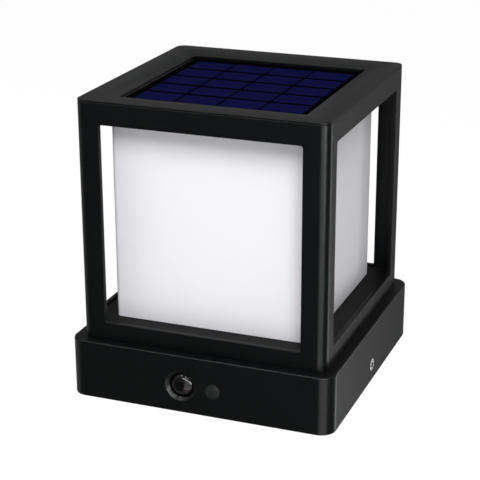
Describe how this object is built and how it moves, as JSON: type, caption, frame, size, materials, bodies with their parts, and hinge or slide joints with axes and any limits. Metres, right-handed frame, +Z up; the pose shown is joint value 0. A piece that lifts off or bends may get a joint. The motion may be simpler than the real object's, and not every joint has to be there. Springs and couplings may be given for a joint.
{
  "type": "solar post cap light",
  "caption": "Square solar post cap light with an open black lantern frame, opal diffuser, recessed solar panel, motion sensor and push button.",
  "frame": {"origin": "middle of the base's lower rim, on the surface that the light stands on", "axes": "+Z up through the lantern, -Y towards the front with the motion sensor, +X to the right"},
  "size_m": [0.16, 0.161, 0.177],
  "materials": {
    "black_shell": "fine matt black, slightly soft sheen",
    "black_floor": "matt black",
    "black_rubber": "soft black",
    "stainless": "bright stainless",
    "zinc_steel": "zinc plated",
    "brass_insert": "turned brass",
    "smoked_lens": "glossy smoked lens",
    "sensor_can": "plated can",
    "green_board": "green solder mask",
    "black_component": "moulded black",
    "opal_diffuser": "opal white",
    "column_aluminium": "plain aluminium",
    "white_board": "white solder mask",
    "led_package": "phosphor",
    "panel_black": "black laminate",
    "solar_cell": "deep blue cell",
    "clear_layer": "clear resin",
    "battery_wrap": "shrink sleeve",
    "black_lead": "lead insulation",
    "grey_button": "matt dark grey silicone"
  },
  "bodies": {
    "mount": {"mounting_plate": "zinc_steel"},
    "lamp": {"base_housing": "black_shell", "base_cover": "black_shell", "base_cover_gasket": "black_rubber", "base_cover_screws": "stainless", "side_screw_inserts": "brass_insert", "pir_lens": "smoked_lens", "pir_sensor": "sensor_can", "sensor_pod": "black_shell", "sensor_pod_gasket": "black_rubber", "sensor_pod_screws": "stainless", "sensor_board": "green_board", "tact_switch": "black_component", "lantern_frame": "black_shell", "frame_gasket": "black_rubber", "frame_screws": "stainless", "floor_tray": "black_floor", "diffuser": "opal_diffuser", "diffuser_seal": "black_rubber", "light_column": "column_aluminium", "light_column_screws": "stainless", "led_strips": "white_board", "led_chips": "led_package", "top_cover": "black_shell", "top_cover_screws": "stainless", "top_cover_gasket": "black_rubber", "panel_tape": "black_rubber", "panel_backing": "panel_black", "solar_cells": "solar_cell", "panel_clear_layer": "clear_layer", "main_board": "green_board", "main_board_screws": "stainless", "board_components": "black_component", "battery_holder": "black_component", "battery_cells": "battery_wrap", "wire_grommet": "black_rubber", "solar_lead": "black_lead", "led_lead": "black_lead", "battery_lead": "black_lead", "sensor_lead": "black_lead"},
    "mode_button": {"mode_button": "grey_button"},
    "side_screw_left": {"side_screw_left": "stainless"},
    "side_screw_right": {"side_screw_right": "stainless"}
  },
  "joints": [
    {"name": "lamp_lift", "type": "slide", "parent": "mount", "child": "lamp", "axis": [0, 0, 1], "range_m": [0, 0.05]},
    {"name": "mode_button_press", "type": "slide", "parent": "lamp", "child": "mode_button", "axis": [0, 1, 0], "range_m": [0, 0.0012], "stiffness_N_per_m": 1500},
    {"name": "side_screw_left_back_off", "type": "slide", "parent": "lamp", "child": "side_screw_left", "axis": [-1, 0, 0], "range_m": [0, 0.004]},
    {"name": "side_screw_right_back_off", "type": "slide", "parent": "lamp", "child": "side_screw_right", "axis": [1, 0, 0], "range_m": [0, 0.004]}
  ]
}
